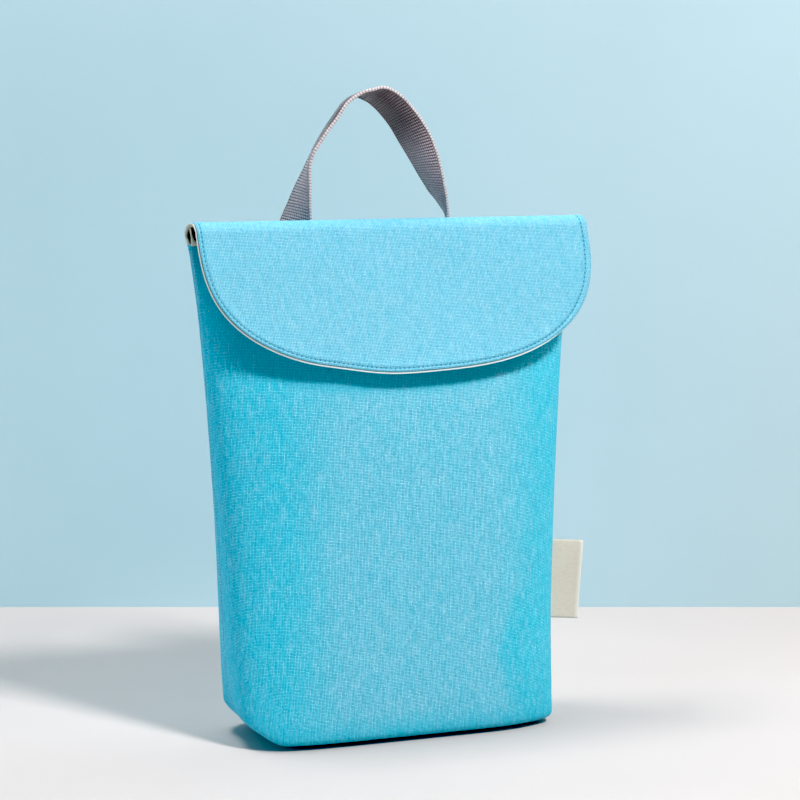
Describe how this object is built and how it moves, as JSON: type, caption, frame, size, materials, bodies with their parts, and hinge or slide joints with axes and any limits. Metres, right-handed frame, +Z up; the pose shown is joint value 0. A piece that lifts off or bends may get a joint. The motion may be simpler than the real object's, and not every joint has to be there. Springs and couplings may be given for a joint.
{
  "type": "diaper storage pouch",
  "caption": "Soft upright diaper pouch with a boxed base, a rounded fold-over flap, a webbing handle loop behind the fold and a folded label in the side seam.",
  "frame": {"origin": "the middle of the flat base, on the floor under the line that joins the two side seams", "axes": "+Z up along the height, -Y towards the front where the flap hangs, +X to the viewer's right, where the label is"},
  "size_m": [0.214, 0.0664, 0.3291],
  "materials": {
    "sky_cloth": "sky-blue melange oxford weave, matte",
    "cream_cloth": "cream lining cloth, matte",
    "grey_webbing": "grey ribbed webbing, matte",
    "cream_ribbon": "cream woven ribbon, bare"
  },
  "bodies": {
    "root": {"front_panel": "sky_cloth", "back_panel": "sky_cloth", "flap": "sky_cloth", "flap_lining": "cream_cloth", "mouth_hem": "cream_cloth", "handle_strap": "grey_webbing", "side_label": "cream_ribbon"}
  },
  "joints": []
}
